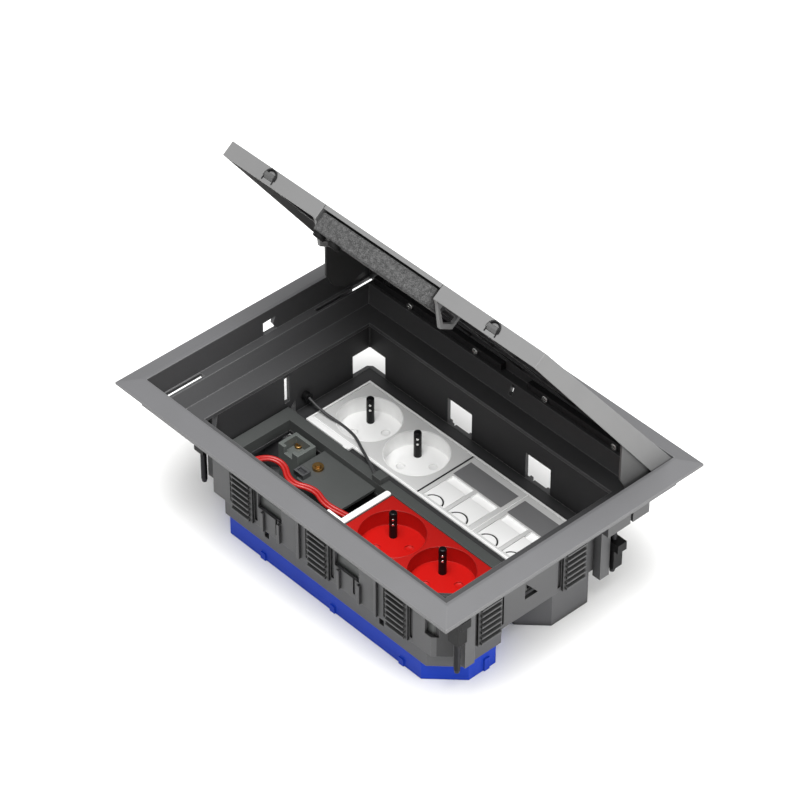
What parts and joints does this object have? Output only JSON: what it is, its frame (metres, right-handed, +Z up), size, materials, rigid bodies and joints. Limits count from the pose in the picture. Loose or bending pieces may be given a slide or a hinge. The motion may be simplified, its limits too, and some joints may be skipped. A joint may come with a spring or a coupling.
{
  "type": "raised floor outlet box",
  "caption": "Outlet box for a raised floor: rimmed frame with a hinged lid and cable flap over a deep box of power sockets and data modules, with wiring boxes below.",
  "frame": {"origin": "middle of the underside of the box, below the middle of the flange", "axes": "+X along the lid hinge, +Y towards the hinge, +Z up out of the floor"},
  "size_m": [0.276, 0.197, 0.238],
  "materials": {
    "frame_grey": "satin moulded plastic",
    "lid_grey": "satin moulded plastic",
    "body_grey": "fine textured moulded plastic",
    "dark_grey": "fine textured moulded plastic",
    "black": "matt moulded plastic",
    "blue": "satin moulded plastic",
    "white": "smooth moulded plastic",
    "red": "smooth moulded plastic",
    "label_grey": "smooth printed field, plain",
    "foam": "open cell foam",
    "pad": "soft moulded rubber",
    "steel": "plain steel",
    "pin_metal": "plated metal",
    "brass": "plain brass",
    "lead_red": "flexible cable sheath",
    "lead_grey": "flexible cable sheath"
  },
  "bodies": {
    "housing": {"floor_flange": "frame_grey", "seat_pads": "pad", "hinge_rail": "dark_grey", "hinge_pins": "steel", "rail_screws": "steel", "inner_box": "body_grey", "long_racks": "body_grey", "side_racks": "body_grey", "wall_ribs": "body_grey", "claw_guides": "body_grey", "claw_screws": "steel", "front_box": "body_grey", "back_box": "body_grey", "base_cover": "blue", "front_riser": "dark_grey", "back_carrier": "dark_grey", "red_carrier": "dark_grey", "red_bar": "white", "white_socket": "white", "white_pins": "pin_metal", "red_socket": "red", "red_pins": "pin_metal", "data_module_a": "white", "data_module_b": "white", "label_field_a": "label_grey", "label_field_b": "label_grey", "wiring_shelf": "dark_grey", "connector": "body_grey", "terminal_stud": "brass", "earth_clamp": "steel", "grey_clip": "dark_grey", "lead_glands": "black", "red_lead_a": "lead_red", "red_lead_b": "lead_red", "grey_lead": "lead_grey"},
    "lid": {"lid_shell": "lid_grey", "lid_plate": "steel", "lid_ribs": "lid_grey", "lid_gussets": "lid_grey", "latch_guides": "lid_grey"},
    "flap": {"flap_plate": "lid_grey", "flap_foam": "foam", "flap_feet": "pad"},
    "latch_left": {"latch_left": "black"},
    "latch_right": {"latch_right": "black"},
    "shutter_a_left": {"shutter_a_left": "white"},
    "shutter_a_right": {"shutter_a_right": "white"},
    "shutter_b_left": {"shutter_b_left": "white"},
    "shutter_b_right": {"shutter_b_right": "white"},
    "claw_left_front": {"claw_left_front": "black"},
    "claw_left_back": {"claw_left_back": "black"},
    "claw_right_front": {"claw_right_front": "black"},
    "claw_right_back": {"claw_right_back": "black"}
  },
  "joints": [
    {"name": "lid_hinge", "type": "hinge", "parent": "housing", "child": "lid", "pos_m": [0, 0.085, 0.101], "axis": [-1, 0, 0], "range_deg": [-52.6, 40]},
    {"name": "flap_hinge", "type": "hinge", "parent": "lid", "child": "flap", "pos_m": [0, -0.00414, 0.21776], "axis": [-1, 0, 0], "range_deg": [0, 95]},
    {"name": "latch_left_slide", "type": "slide", "parent": "lid", "child": "latch_left", "axis": [0, 0.6074, -0.7944], "range_m": [0, 0.0025], "stiffness_N_per_m": 300, "springref_m": -0.003},
    {"name": "latch_right_slide", "type": "slide", "parent": "lid", "child": "latch_right", "axis": [0, 0.6074, -0.7944], "range_m": [0, 0.0025], "stiffness_N_per_m": 300, "springref_m": -0.003},
    {"name": "shutter_a_left_slide", "type": "slide", "parent": "housing", "child": "shutter_a_left", "axis": [0, 1, 0], "range_m": [0, 0.006]},
    {"name": "shutter_a_right_slide", "type": "slide", "parent": "housing", "child": "shutter_a_right", "axis": [0, 1, 0], "range_m": [0, 0.006]},
    {"name": "shutter_b_left_slide", "type": "slide", "parent": "housing", "child": "shutter_b_left", "axis": [0, 1, 0], "range_m": [0, 0.006]},
    {"name": "shutter_b_right_slide", "type": "slide", "parent": "housing", "child": "shutter_b_right", "axis": [0, 1, 0], "range_m": [0, 0.006]},
    {"name": "claw_left_front_slide", "type": "slide", "parent": "housing", "child": "claw_left_front", "axis": [0, 0, 1], "range_m": [-0.0235, 0.007]},
    {"name": "claw_left_back_slide", "type": "slide", "parent": "housing", "child": "claw_left_back", "axis": [0, 0, 1], "range_m": [-0.0235, 0.007]},
    {"name": "claw_right_front_slide", "type": "slide", "parent": "housing", "child": "claw_right_front", "axis": [0, 0, 1], "range_m": [-0.0235, 0.007]},
    {"name": "claw_right_back_slide", "type": "slide", "parent": "housing", "child": "claw_right_back", "axis": [0, 0, 1], "range_m": [-0.005, 0.0255]}
  ]
}
